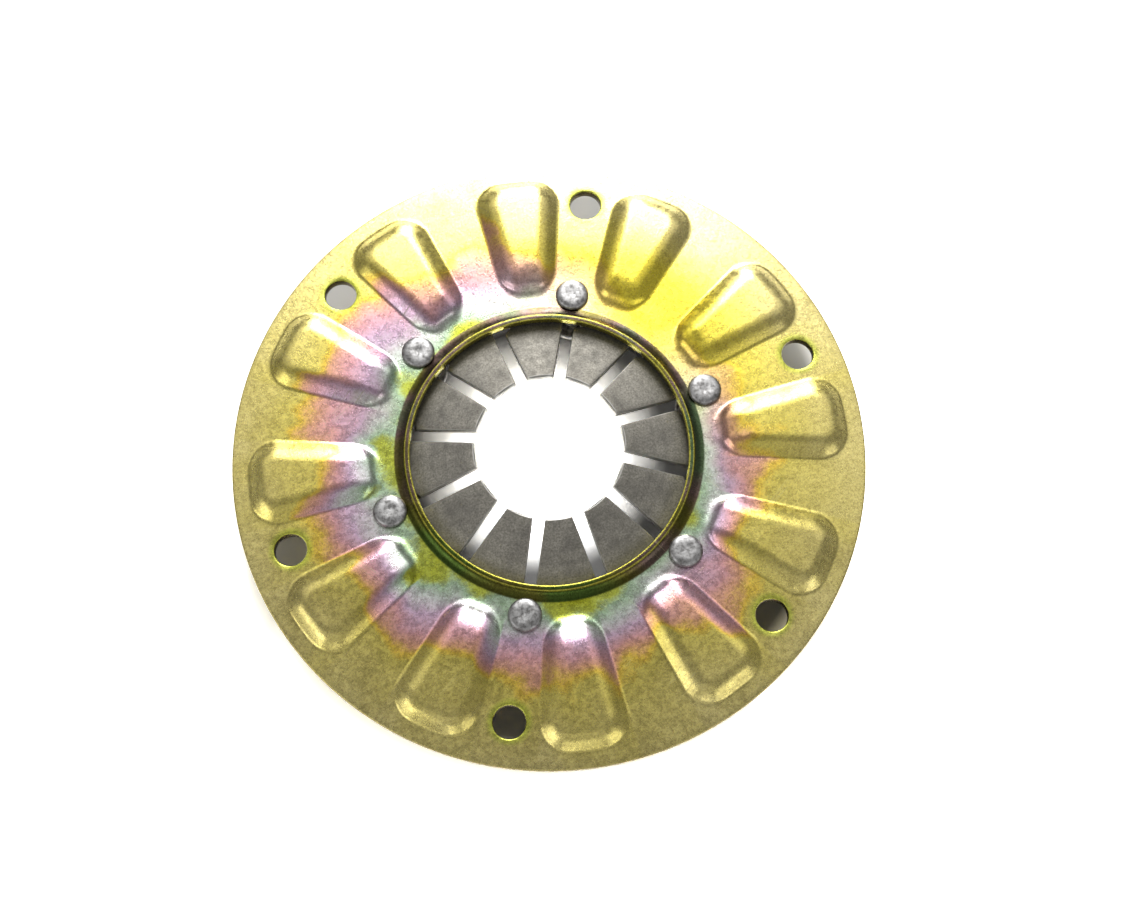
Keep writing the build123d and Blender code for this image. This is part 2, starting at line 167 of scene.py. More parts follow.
# ------------------------------------------------------------------ node helpers
class Nodes:
    """A material under construction, with short ways to add and join its nodes."""

    def __init__(self, name):
        self.material = bpy.data.materials.new(name)
        self.material.use_nodes = True
        self.tree = self.material.node_tree
        self.shader = self.tree.nodes["Principled BSDF"]
        coordinates = self.tree.nodes.new("ShaderNodeTexCoord")
        self.place = coordinates.outputs["Object"]
        self.x, self.y, self.z = self.split(self.place)

    def split(self, vector):
        """The three numbers of a vector."""
        node = self.tree.nodes.new("ShaderNodeSeparateXYZ")
        self.join(vector, node.inputs[0])
        return node.outputs[0], node.outputs[1], node.outputs[2]

    def vector(self, x, y, z):
        """A vector from three numbers."""
        node = self.tree.nodes.new("ShaderNodeCombineXYZ")
        for value, socket in zip((x, y, z), node.inputs):
            self.join(value, socket)
        return node.outputs[0]

    def join(self, source, socket):
        """Links a socket or sets a plain value."""
        if isinstance(source, bpy.types.NodeSocket):
            self.tree.links.new(source, socket)
        else:
            socket.default_value = source

    def math(self, operation, a, b=0.0):
        """The result of a math node on one or two values."""
        node = self.tree.nodes.new("ShaderNodeMath")
        node.operation = operation
        self.join(a, node.inputs[0])
        self.join(b, node.inputs[1])
        return node.outputs[0]

    def add(self, a, b):
        return self.math("ADD", a, b)

    def times(self, a, b):
        return self.math("MULTIPLY", a, b)

    def noise(self, scale, detail=3.0, roughness=0.5, place=None):
        """Fractal noise with scale features per metre."""
        node = self.tree.nodes.new("ShaderNodeTexNoise")
        self.join(place or self.place, node.inputs["Vector"])
        node.inputs["Scale"].default_value = scale
        node.inputs["Detail"].default_value = detail
        node.inputs["Roughness"].default_value = roughness
        return node.outputs["Fac"]

    def cells(self, scale):
        """Distance to the nearest cell point, with scale cells per metre."""
        node = self.tree.nodes.new("ShaderNodeTexVoronoi")
        self.join(self.place, node.inputs["Vector"])
        node.inputs["Scale"].default_value = scale
        return node.outputs["Distance"]

    def remap(self, value, from_low, from_high, to_low=0.0, to_high=1.0, smooth=False):
        """The value moved from one range to another, and held at its ends."""
        node = self.tree.nodes.new("ShaderNodeMapRange")
        if smooth:
            node.interpolation_type = "SMOOTHSTEP"
        self.join(value, node.inputs["Value"])
        self.join(from_low, node.inputs["From Min"])
        self.join(from_high, node.inputs["From Max"])
        self.join(to_low, node.inputs["To Min"])
        self.join(to_high, node.inputs["To Max"])
        return node.outputs["Result"]

    def fade(self, length, start, end, to_low=0.0, to_high=1.0, smooth=False):
        """As remap, for a length that is compared with two sizes in millimetres."""
        return self.remap(length, start * MM, end * MM, to_low, to_high, smooth)

    def mix(self, share, a, b, blend="MIX"):
        """Colour a at share 0 and colour b at share 1."""
        node = self.tree.nodes.new("ShaderNodeMix")
        node.data_type = "RGBA"
        node.blend_type = blend
        self.join(share, node.inputs[0])
        self.join(opaque(a), node.inputs[6])
        self.join(opaque(b), node.inputs[7])
        return node.outputs[2]

    def ramp(self, value, stops):
        """Colour ramp with (position, colour) stops."""
        node = self.tree.nodes.new("ShaderNodeValToRGB")
        self.join(value, node.inputs["Fac"])
        elements = node.color_ramp.elements
        while len(elements) < len(stops):
            elements.new(0.5)
        for element, (position, colour) in zip(elements, stops):
            element.position = position
            element.color = (*colour, 1)
        return node.outputs["Color"]

    def length(self, x, y):
        """The length of a vector in the plane."""
        return self.math("SQRT", self.add(self.times(x, x), self.times(y, y)))

    def radius(self):
        """Distance from the part's axis, in metres."""
        return self.length(self.x, self.y)

    def angle(self):
        """Angle round the part's axis, in radians."""
        return self.math("ARCTAN2", self.y, self.x)

    def from_nearest(self, angle, pitch):
        """The angle from the nearest multiple of the pitch."""
        wrapped = self.math("FLOORED_MODULO", self.add(angle, pitch / 2), pitch)
        return self.add(wrapped, -pitch / 2)

    def bump(self, height, distance, strength, under=None):
        """Small relief, laid over another one where under is given."""
        node = self.tree.nodes.new("ShaderNodeBump")
        self.join(height, node.inputs["Height"])
        node.inputs["Distance"].default_value = distance
        node.inputs["Strength"].default_value = strength
        if under is not None:
            self.join(under, node.inputs["Normal"])
        return node.outputs["Normal"]

    def metal(self, colour, roughness, normal):
        """The finished material."""
        self.join(opaque(colour), self.shader.inputs["Base Color"])
        self.join(roughness, self.shader.inputs["Roughness"])
        self.join(normal, self.shader.inputs["Normal"])
        self.shader.inputs["Metallic"].default_value = 1.0
        return self.material


def opaque(colour):
    """A plain colour with its fourth number, or the socket itself."""
    return (*colour, 1) if isinstance(colour, tuple) and len(colour) == 3 else colour


# ------------------------------------------------------------------ studio
FLOOR_SIZE = 16.0            # in metres, like the lamps' distance and sizes
FLOOR_ALBEDO = 0.78
SEEN_ALBEDO = 4.0            # for camera, glossy and transmission rays: a white background
PAINTED_SHADOW_ALBEDO = 0.6          # the same for the floor that the part stands over, painted darker there as shadow
WORLD_LEVEL = 0.28
LAMP_DISTANCE = 1.1

# The seen floor's painted shadow and painted light change with the distance from a point a little
# behind the axis. Each span says where a change starts and where it is complete, in millimetres.
SHADE_CENTRE_Y = 8
PAINTED_SHADOW_SPANS = (22, 37), (100, 78)
SLOT_SHADOW_SPANS = (31, 36), (56, 50)
HOLE_SHADOW_SPANS = (50, 56), (86, 80)
HOLLOW_LIGHT_SPAN = (27, 20)
PAINTED_HOLLOW_LIGHT = 2.6            # painted light: how much lighter the floor is in the middle of the opening
PAINTED_SLOT_SHADOW = 0.6              # painted shadow: how much darker it is below the fingers' slots
NEAR_SPAN = (60, -60)        # from behind the part to in front of it
PAINTED_HOLE_SHADOWS = (0.25, 0.85)   # painted shadow: how much darker it is below the bolt holes, behind and in front

# name, azimuth and elevation in degrees, width and height in metres, level
SOFTBOXES = (
    ("back_softbox", 1, 36.5, 0.32, 0.97, 14.5),
    ("front_left_softbox", 122, 37, 0.70, 0.36, 2.4),
    ("front_right_softbox", -135, 33, 0.60, 0.30, 1.8),
    ("front_softbox", 178, 32, 0.50, 0.22, 1.8),
    ("front_top_softbox", 180, 62, 0.70, 0.36, 0.35),
    ("left_softbox", 46, 52, 0.45, 0.60, 0.6),
    ("right_softbox", -46, 54, 0.45, 0.66, 0.7),
)


def softbox(name, azimuth, elevation, width, height, level):
    """A soft light that looks at the part. Azimuth 0 is behind it, 90 to its left."""
    a, e = radians(azimuth), radians(elevation)
    direction = Vector((-sin(a) * cos(e), cos(a) * cos(e), sin(e)))
    data = bpy.data.lights.new(name, "AREA")
    data.shape = "RECTANGLE"
    data.size = width
    data.size_y = height
    data.energy = level * pi * width * height
    lamp = bpy.data.objects.new(name, data)
    aim = direction.to_track_quat("Z", "Y").to_matrix().to_4x4()
    place = Matrix.Translation(direction * LAMP_DISTANCE)
    lamp.matrix_world = to_part @ place @ aim
    bpy.context.scene.collection.objects.link(lamp)


def floor_material():
    """A pale floor, lighter where it is seen than where it only lights the part from below. Seen,
    it has painted shadow under the part and painted light in the opening.
    """
    n = Nodes("pale_floor")
    nodes = n.tree.nodes
    output = n.shader.outputs[0].links[0].to_socket
    nodes.remove(n.shader)
    diffuse = nodes.new("ShaderNodeBsdfDiffuse")
    path = nodes.new("ShaderNodeLightPath").outputs
    seen = n.math("MAXIMUM", path["Is Camera Ray"], path["Is Glossy Ray"])
    seen = n.math("MAXIMUM", seen, path["Is Transmission Ray"])
    away = n.length(n.x, n.add(n.y, -SHADE_CENTRE_Y * MM))
    # painted shadow: the seen floor is darker under the part's body
    shaded = n.math("MINIMUM", *(n.fade(away, *span) for span in PAINTED_SHADOW_SPANS))
    # painted shadow in the band below the fingers' slots
    slots = n.times(*(n.fade(away, *span) for span in SLOT_SHADOW_SPANS))
    # painted shadow in the band below the bolt holes, deeper in front
    holes = n.times(*(n.fade(away, *span) for span in HOLE_SHADOW_SPANS))
    hole_shadow_depth = n.fade(n.y, *NEAR_SPAN, *PAINTED_HOLE_SHADOWS)
    albedo = n.remap(shaded, 0, 1, SEEN_ALBEDO, PAINTED_SHADOW_ALBEDO, smooth=True)
    albedo = n.times(albedo, n.add(1.0, n.times(slots, -PAINTED_SLOT_SHADOW)))
    albedo = n.times(albedo, n.add(1.0, n.times(holes, n.times(hole_shadow_depth, -1.0))))
    # painted light: the floor in the middle of the opening is made lighter
    albedo = n.times(albedo, n.fade(away, *HOLLOW_LIGHT_SPAN, 1.0, PAINTED_HOLLOW_LIGHT))
    unseen = n.add(n.times(seen, -1.0), 1.0)
    level = n.add(n.times(seen, albedo), n.times(unseen, FLOOR_ALBEDO))
    n.join(n.vector(level, level, level), diffuse.inputs["Color"])
    n.join(diffuse.outputs[0], output)
    return n.material


def make_floor():
    """A plain square floor under the part."""
    half = FLOOR_SIZE / 2
    mesh = bpy.data.meshes.new("floor")
    mesh.from_pydata(
        [(-half, -half, 0), (half, -half, 0), (half, half, 0), (-half, half, 0)],
        [],
        [(0, 1, 2, 3)],
    )
    mesh.materials.append(floor_material())
    floor = bpy.data.objects.new("floor", mesh)
    floor.location.z = cad_low.z
    bpy.context.scene.collection.objects.link(floor)


def make_studio():
    """Pale floor, plain grey world and the soft lights."""
    scene = bpy.context.scene
    scene.view_settings.view_transform = "Standard"
    world = bpy.data.worlds.new("studio")
    world.use_nodes = True
    scene.world = world
    background = world.node_tree.nodes["Background"]
    background.inputs["Color"].default_value = (1, 1, 1, 1)
    background.inputs["Strength"].default_value = WORLD_LEVEL
    make_floor()
    for setting in SOFTBOXES:
        softbox(*setting)


# ------------------------------------------------------------------ materials
def scratches(n, turn, length_scale, width_scale, share):
    """Thin straight scratches in one direction: 1 on a scratch, 0 beside it."""
    along = n.add(n.times(n.x, cos(turn)), n.times(n.y, sin(turn)))
    across = n.add(n.times(n.x, -sin(turn)), n.times(n.y, cos(turn)))
    stretched = n.vector(n.times(along, length_scale), n.times(across, width_scale), turn)
    streak = n.noise(1.0, 1.0, 0.4, place=stretched)
    line = n.remap(n.math("ABSOLUTE", n.add(streak, -0.5)), 0.0, 0.012, 1.0, 0.0)
    return n.times(line, n.remap(n.noise(48 + 13 * turn, 1.0), 1 - share, 1 - share + 0.04))


THICK_FILM_ANGLE = radians(32)    # direction in which the film stays gold right up to the lip
THIN_FILM_ANGLE = radians(150)    # direction in which it is thinnest
# colours of the film by its thickness, given as the radius in millimetres where it is usual
FILM_START = 36.0
FILM_END = 86.0
FILM_BANDS = (
    (36.0, (0.42, 0.44, 0.03)),
    (39.2, (0.50, 0.56, 0.10)),
    (41.6, (0.44, 0.60, 0.40)),
    (45.5, (0.64, 0.67, 0.64)),
    (50.5, (0.62, 0.44, 0.58)),
    (55.5, (0.71, 0.38, 0.40)),
    (59.5, (0.79, 0.43, 0.26)),
    (62.2, (0.86, 0.61, 0.10)),
    (64.5, (0.75, 0.64, 0.16)),
    (86.0, (0.80, 0.69, 0.28)),
)


def film_thickness(n, angle, facing, wander):
    """How thick the film is, given as the radius in metres where that thickness is usual."""
    # it follows the radius, and drifts in patches and from face to face
    thick = n.times(n.math("POWER", facing, 8.0), 14 * MM)
    drift = n.times(n.add(n.noise(29, 3, 0.6), -0.5), 30 * MM)
    fine = n.times(n.add(n.noise(1100, 3, 0.7), -0.5), 3 * MM)
    film = n.add(n.add(n.radius(), n.add(thick, drift)), n.add(wander, fine))
    film = n.add(film, n.times(n.add(n.z, -SHEET * MM), 1.5))
    # thinner on the blue-green side, and different on the two long walls of each rib
    thin_side = n.math("MAXIMUM", n.math("COSINE", n.add(angle, -THIN_FILM_ANGLE)), 0.0)
    film = n.add(film, n.times(n.math("POWER", thin_side, 3.0), -4.5 * MM))
    rib_pitch = TURN / RIBS
    across = n.add(n.math("FLOORED_MODULO", angle, rib_pitch), -rib_pitch / 2)
    off_middle = n.math("ABSOLUTE", across)
    wall = n.times(
        n.remap(off_middle, radians(3.5), radians(6.0), smooth=True),
        n.remap(off_middle, radians(9.3), radians(8.6)),
    )
    wall = n.times(wall, n.fade(n.radius(), 45, 50))
    wall = n.times(wall, n.remap(n.noise(41, 2, 0.5), 0.36, 0.62, 0.2, 1.0))
    return n.add(film, n.times(n.times(wall, n.math("SIGN", across)), -6.5 * MM))


def paint_lip_shade_and_highlights(n, colour):
    """Painted shade in dark film tints on the lip's outer curve and flat top, painted highlights on
    both of the top's edges.
    """
    lip = n.fade(n.radius(), LIP_FOOT_R - 0.3, LIP_FOOT_R + 0.1)
    lip_painted_shade = n.ramp(n.noise(34, 2, 0.5), [
        (0.38, (0.06, 0.10, 0.02)),
        (0.48, (0.11, 0.10, 0.02)),
        (0.56, (0.15, 0.10, 0.09)),
        (0.66, (0.08, 0.12, 0.06)),
    ])
    colour = n.mix(lip, lip_painted_shade, colour)
    # painted highlights along both rounded edges of the lip's flat top
    for edge_r in (OPENING_R + 0.15, LIP_TOP_R - 0.10):
        away = n.math("ABSOLUTE", n.add(n.radius(), -edge_r * MM))
        line = n.fade(away, 0.14, 0.30, 1.0, 0.0, smooth=True)
        colour = n.mix(line, colour, (0.52, 0.48, 0.08))
    return colour


def tint_sheared_edges(n, angle, wander, colour):
    """Lime edges round the bolt holes. The sheared rim and the holes' walls are darker."""
    turned = n.from_nearest(angle, TURN / SECTORS)
    from_hole = n.length(
        n.add(n.times(n.radius(), n.math("COSINE", turned)), -BOLT_CIRCLE_R * MM),
        n.times(n.radius(), n.math("SINE", turned)),
    )
    ragged = n.add(from_hole, n.times(wander, 0.15))
    halo = n.fade(ragged, BOLT_HOLE_R + 0.25, BOLT_HOLE_R + 2.35, 1.0, 0.0, smooth=True)
    colour = n.mix(n.times(halo, 0.75), colour, (0.55, 0.62, 0.08))
    rim = n.fade(n.radius(), COVER_R - 0.70, COVER_R - 0.35)
    hole_wall = n.fade(from_hole, BOLT_HOLE_R + 0.07, BOLT_HOLE_R + 0.01)
    sheared = n.times(n.math("MAXIMUM", rim, hole_wall), n.fade(n.z, SHEET, SHEET - 0.15))
    return n.mix(sheared, colour, (0.20, 0.165, 0.07))


def yellow_zinc():
    """Yellow dichromate over zinc: olive gold outside, then pink, purple, blue-green and lime."""
    n = Nodes("yellow_zinc")
    angle = n.angle()
    facing = n.math("MAXIMUM", n.math("COSINE", n.add(angle, -THICK_FILM_ANGLE)), 0.0)
    wander = n.times(n.add(n.noise(60, 4, 0.6), -0.5), 8 * MM)
    band = n.fade(film_thickness(n, angle, facing, wander), FILM_START, FILM_END)
    span = FILM_END - FILM_START
    colour = n.ramp(band, [((r - FILM_START) / span, shade) for r, shade in FILM_BANDS])
    # vivid yellow inside the holes' circle where the film is thick
    vivid = n.times(n.math("POWER", facing, 5.0), n.fade(n.add(n.radius(), wander), 71, 60))
    colour = n.mix(n.times(vivid, 0.85), colour, (0.94, 0.78, 0.06))
    # painted shade on the lip and painted highlights on its top's edges
    colour = paint_lip_shade_and_highlights(n, colour)
    colour = tint_sheared_edges(n, angle, wander, colour)
    # dull grain and blotches in the film, and scars
    dull = n.mix(1.0, colour, (0.50, 0.46, 0.42), "MULTIPLY")
    colour = n.mix(n.remap(n.noise(1900, 4, 0.75), 0.45, 0.61, 0.0, 0.62), colour, dull)
    dull = n.mix(1.0, colour, (0.58, 0.56, 0.44), "MULTIPLY")
    colour = n.mix(n.remap(n.noise(62, 6, 0.66), 0.47, 0.68, 0.0, 0.50), colour, dull)
    scars = n.math("MAXIMUM", scratches(n, 0.5, 16, 900, 0.36), scratches(n, 2.1, 13, 800, 0.36))
    colour = n.mix(n.times(scars, 0.5), colour, (0.30, 0.27, 0.16))
    roughness = n.add(n.remap(n.noise(600, 3), 0.3, 0.7, 0.22, 0.33), n.times(scars, 0.15))
    roll = n.bump(n.noise(55, 3, 0.55), 0.22 * MM, 0.55)
    normal = n.bump(n.noise(1300, 4, 0.75), 0.07 * MM, 0.55, roll)
    return n.metal(colour, roughness, normal)


TURNED_ARCS = ((28.4, 0.5), (31.6, 0.8), (23.2, 0.35))            # (radius, width) in millimetres


def spring_steel():
    """Satin, warm dark grey spring steel, tumbled, with faint turned arcs near the tips."""
    n = Nodes("spring_steel")
    grain = n.noise(2100, 4, 0.7)
    cloud = n.noise(160, 4, 0.6)
    colour = n.mix(n.remap(grain, 0.3, 0.7), (0.165, 0.156, 0.132), (0.40, 0.38, 0.335))
    colour = n.mix(n.remap(cloud, 0.40, 0.66, 0.0, 0.45), colour, (0.11, 0.105, 0.095))
    for arc_r, width in TURNED_ARCS:
        away = n.math("ABSOLUTE", n.add(n.add(n.radius(), n.times(cloud, 1.2 * MM)), -arc_r * MM))
        ring = n.fade(away, width * 0.4, width, 0.14, 0.0, smooth=True)
        colour = n.mix(ring, colour, (0.10, 0.095, 0.085))
    # the edges of the slots and the tips carry a painted highlight in a lighter colour, and are
    # smoother
    from_slot = n.math("ABSOLUTE", n.from_nearest(n.angle(), TURN / RIBS))
    off_side = n.add(n.times(n.radius(), n.math("SINE", from_slot)), -HALF_SLOT * MM)
    side_edge = n.fade(off_side, 0.16, 0.34, 1.0, 0.0)
    tip_edge = n.fade(n.radius(), TIP_R + 0.16, TIP_R + 0.34, 1.0, 0.0)
    edge_highlight_and_polish = n.math("MAXIMUM", n.times(side_edge, 0.7), tip_edge)
    colour = n.mix(n.times(edge_highlight_and_polish, 0.85), colour, (0.50, 0.49, 0.46))
    roughness = n.remap(n.noise(500, 3), 0.3, 0.7, 0.60, 0.72)
    roughness = n.add(roughness, n.times(edge_highlight_and_polish, -0.28))
    normal = n.bump(grain, 0.05 * MM, 0.5)
    return n.metal(colour, roughness, normal)


def rivet_steel():
    """Cold-formed rivet, dull and mottled."""
    n = Nodes("rivet_steel")
    mottle = n.noise(780, 4, 0.7)
    colour = n.mix(n.remap(mottle, 0.36, 0.62), (0.17, 0.165, 0.16), (0.46, 0.455, 0.45))
    pits = n.remap(n.cells(1100), 0.08, 0.26, 0.50, 0.0)
    colour = n.mix(pits, colour, (0.12, 0.12, 0.115))
    roughness = n.remap(n.noise(800, 3), 0.3, 0.7, 0.34, 0.50)
    normal = n.bump(mottle, 0.07 * MM, 0.5)
    return n.metal(colour, roughness, normal)


def drawn_wire():
    """Drawn wire, with fine lines along its length and a dark film in its low spots."""
    n = Nodes("wire_steel")
    ring = n.vector(n.radius(), n.z, n.times(n.angle(), 0.002))
    lines = n.noise(5200, 3, 0.6, place=ring)
    colour = n.mix(n.remap(lines, 0.35, 0.65), (0.16, 0.155, 0.15), (0.42, 0.41, 0.40))
    colour = n.mix(n.remap(n.noise(140, 4), 0.5, 0.7, 0.0, 0.5), colour, (0.13, 0.11, 0.09))
    return n.metal(colour, 0.34, n.bump(lines, 0.03 * MM, 0.6))


TOOL_FEED = 0.42 * MM             # between the rings that the lathe's tool leaves


def machined_iron():
    """Turned cast iron: fine rings from the tool, dark graphite flecks, a faint oil film."""
    n = Nodes("machined_iron")
    wobble = n.times(n.noise(300, 2), 0.10 * MM)
    groove = n.math("SINE", n.times(n.add(n.radius(), wobble), TURN / TOOL_FEED))
    ring = n.vector(n.radius(), n.z, 0.0)
    broad = n.noise(900, 3, 0.6, place=ring)
    colour = n.mix(n.remap(broad, 0.35, 0.65), (0.27, 0.265, 0.26), (0.44, 0.435, 0.43))
    flecks = n.remap(n.cells(1400), 0.06, 0.16, 0.6, 0.0)
    colour = n.mix(flecks, colour, (0.12, 0.115, 0.11))
    stain = n.remap(n.noise(70, 5, 0.6), 0.54, 0.72, 0.0, 0.5)
    colour = n.mix(stain, colour, (0.24, 0.17, 0.11))
    roughness = n.remap(broad, 0.3, 0.7, 0.28, 0.44)
    normal = n.bump(groove, 0.01 * MM, 0.5)
    normal = n.bump(n.noise(1500, 3), 0.03 * MM, 0.3, normal)
    return n.metal(colour, roughness, normal)


def blued_strip():
    """Heat-blued spring strip, straw and blue in patches, with the grain of the rolled strip."""
    n = Nodes("clip_steel")
    heat = n.add(n.noise(120, 3, 0.5), n.times(n.add(n.noise(1500, 3), -0.5), 0.15))
    colour = n.ramp(heat, [
        (0.34, (0.16, 0.15, 0.17)),
        (0.47, (0.13, 0.16, 0.24)),
        (0.57, (0.20, 0.19, 0.20)),
        (0.68, (0.30, 0.23, 0.15)),
    ])
    along = n.vector(n.times(n.radius(), 300), n.times(n.angle(), 260), n.times(n.z, 2500))
    roll = n.noise(1.0, 3, 0.6, place=along)
    colour = n.mix(n.remap(roll, 0.4, 0.7, 0.0, 0.4), colour, (0.34, 0.34, 0.35))
    return n.metal(colour, n.remap(roll, 0.3, 0.7, 0.28, 0.40), n.bump(roll, 0.03 * MM, 0.5))


def black_oxide():
    """Black oxide on the screws, rubbed a little brighter in spots."""
    n = Nodes("screw_steel")
    rub = n.noise(700, 4, 0.7)
    colour = n.mix(n.remap(rub, 0.50, 0.72), (0.045, 0.045, 0.05), (0.26, 0.26, 0.26))
    roughness = n.remap(n.noise(1200, 3), 0.3, 0.7, 0.32, 0.5)
    return n.metal(colour, roughness, n.bump(n.noise(1600, 3), 0.05 * MM, 0.5))


# ------------------------------------------------------------------ mesh helpers
ROUNDING_STEPS = 4           # pieces of a small rounded edge


def new_object(name, points, faces, material, smooth_below):
    """A mesh from points in millimetres, shaded smooth but for edges sharper than the angle."""
    mesh = bpy.data.meshes.new(name)
    mesh.from_pydata((np.asarray(points) * MM).tolist(), [], faces)
    work = bmesh.new()
    work.from_mesh(mesh)
    bmesh.ops.recalc_face_normals(work, faces=work.faces)
    work.to_mesh(mesh)
    work.free()
    mesh.materials.append(material)
    mesh.shade_smooth()
    mesh.set_sharp_from_angle(angle=radians(smooth_below))
    made = bpy.data.objects.new(name, mesh)
    bpy.context.scene.collection.objects.link(made)
    return made


def arc(centre, radius, start, end, steps):
    """Points on an arc in an (r, z) section, angles in degrees."""
    return [
        (
            centre[0] + radius * cos(radians(start + (end - start) * i / steps)),
            centre[1] + radius * sin(radians(start + (end - start) * i / steps)),
        )
        for i in range(steps + 1)
    ]


def steps_between(start, end, step):
    """Evenly spaced numbers from start to end, both included."""
    count = max(1, round(abs(end - start) / step))
    return [start + (end - start) * i / count for i in range(count + 1)]


def band_faces(outer, inner):
    """Quads between two closed rings of the same number of points."""
    faces = []
    for k in range(len(outer)):
        following = (k + 1) % len(outer)
        faces.append((outer[k], outer[following], inner[following], inner[k]))
    return faces


def tube_faces(rows, width):
    """Faces of a tube that is closed at both ends, from rows of width points each."""
    rings = [range(i * width, (i + 1) * width) for i in range(rows)]
    faces = []
    for ring, next_ring in zip(rings, rings[1:]):
        faces += band_faces(ring, next_ring)
    return faces + [tuple(rings[0]), tuple(rings[-1])]


# ------------------------------------------------------------------ cover
COLUMNS = 720                # points round the cover
RIBBED_STEP = 0.48           # between rings of points where the ribs stand
RIBBED_R = 80.2              # the rings stand wider beyond this radius
RIM_STEP = 1.1
PLAIN_STEP = 0.6
BEND_STEPS = 10
LIP_EDGE_STEPS = 5
LIP_CURVE_STEPS = 9
PATCH_MARGIN = 0.35          # least room between a hole's rounding and the edge of its patch
HOLES = (                    # radius of the circle they stand on, radius, rounding
    (BOLT_CIRCLE_R, BOLT_HOLE_R, BOLT_HOLE_ROUND),
    (RIVET_CIRCLE_R, RIVET_HOLE_R, RIVET_HOLE_ROUND),
)
Patch = namedtuple("Patch", "rows columns circle_r number hole_r rounding side")


def smooth_step(t):
    """From 0 to 1 with level ends."""
    t = np.clip(t, 0, 1)
    return t * t * (3 - 2 * t)


def dish(radius):
    """How far the sheet is sunk at a radius."""
    return DISH_DEPTH * (1 - smooth_step((radius - DISH_INNER_R) / (DISH_OUTER_R - DISH_INNER_R)))


def rib_wall(share, crease):
    """Height of the rib's wall, from 0 at its foot to 1 at the flat top."""
    share = np.clip(share, 0, 1)
    slope = 2 / (1 + WALL_STRAIGHT)
    crown = 1 - slope / 2 / (1 - WALL_STRAIGHT) * (1 - share) ** 2
    rise = np.where(share < WALL_STRAIGHT, slope * share, crown)
    return rise * smooth_step(share / crease)


def corner(a, b, rounding):
    """Distance to the nearer of two edges, with a rounded corner between them."""
    inside = np.minimum(a, b)
    da, db = rounding - a, rounding - b
    rounded = rounding - np.sqrt(np.maximum(da, 0) ** 2 + np.maximum(db, 0) ** 2)
    return np.where((da > 0) & (db > 0), rounded, inside)


def rib_height(radius, angle, inset):
    """Height of the ribs above the sheet at points in polar form."""
    pitch = TURN / RIBS
    offset = np.abs((angle % pitch) - pitch / 2)
    x = radius * np.cos(offset)
    y = radius * np.sin(offset)
    side = x * sin(RIB_HALF_ANGLE) - y * cos(RIB_HALF_ANGLE) - inset
    outer = RIB_OUTER_R - inset - radius
    inner = radius - RIB_INNER_R - inset
    near_outer = corner(side * RIB_END_WALL / RIB_WALL, outer, RIB_CORNER_R) / RIB_END_WALL
    inner_rounding = RIB_INNER_CORNER_R * RIB_FADE / RIB_WALL
    near_inner = corner(side * RIB_FADE / RIB_WALL, inner, inner_rounding) / RIB_FADE
    softness = smooth_step((RIB_INNER_R + SOFT_REACH - radius) / SOFT_REACH)
    crease = CREASE + (SOFT_CREASE - CREASE) * softness
    return RIB_HEIGHT * rib_wall(np.minimum(near_outer, near_inner), crease)


def cover_section():
    """The cover's closed section as (r, z, side), where side is 1 on the ribbed upper face, -1 on
    the ribbed lower face and 0 elsewhere."""
    lip_top = HUB_TOP + LIP_HEIGHT
    edge_z = lip_top - LIP_EDGE
    bend_centre = (OPENING_R + LIP_BEND_R, -DISH_DEPTH + LIP_BEND_R)
    # the lip's outer curve rises from the sheet to the edge of the flat top
    rise = LIP_HEIGHT - LIP_EDGE
    run = LIP_FOOT_R - LIP_TOP_R
    curve_r = (rise**2 + run**2) / (2 * rise)
    sweep = degrees(atan2(run, curve_r - rise))
    foot = (LIP_FOOT_R, HUB_TOP + curve_r)
    lip = arc(bend_centre, LIP_BEND_R, 270, 180, BEND_STEPS)
    lip += [(OPENING_R, z) for z in steps_between(bend_centre[1], edge_z, PLAIN_STEP)[1:]]
    lip += arc((OPENING_R + LIP_EDGE, edge_z), LIP_EDGE, 180, 90, ROUNDING_STEPS)[1:]
    lip += arc((LIP_TOP_R - LIP_EDGE, edge_z), LIP_EDGE, 90, 0, LIP_EDGE_STEPS)
    lip += arc(foot, curve_r, 270 - sweep, 270, LIP_CURVE_STEPS)[1:]

    rim_centre = COVER_R - RIM_ROUND
    upper = steps_between(LIP_FOOT_R, RIBBED_R, RIBBED_STEP)[1:]
    upper += steps_between(RIBBED_R, rim_centre, RIM_STEP)[1:]
    rim = arc((rim_centre, SHEET - RIM_ROUND), RIM_ROUND, 90, 0, ROUNDING_STEPS)[1:]
    rim += arc((rim_centre, RIM_ROUND), RIM_ROUND, 0, -90, ROUNDING_STEPS)
    lower = upper[-2::-1]
    lower += steps_between(LIP_FOOT_R, OPENING_R + LIP_BEND_R, PLAIN_STEP)[:-1]

    section = [(r, z, 0) for r, z in lip]
    section += [(r, SHEET, 1) for r in upper]
    section += [(r, z, 0) for r, z in rim]
    section += [(r, 0.0, -1) for r in lower]
    return section


def cover_points(section):
    """The cover before its holes are made: a ring of points for every point of the section."""
    angle = np.arange(COLUMNS) * TURN / COLUMNS
    grid = np.zeros((len(section), COLUMNS, 3))
    for i, (r, z, side) in enumerate(section):
        height = np.full(COLUMNS, z)
        if side:
            radius = np.full(COLUMNS, r)
            inset = 0 if side > 0 else RIB_INSET
            height = height - dish(radius) + rib_height(radius, angle, inset)
        grid[i, :, 0] = r * np.cos(angle)
        grid[i, :, 1] = r * np.sin(angle)
        grid[i, :, 2] = height
    return grid.reshape(-1, 3).tolist()


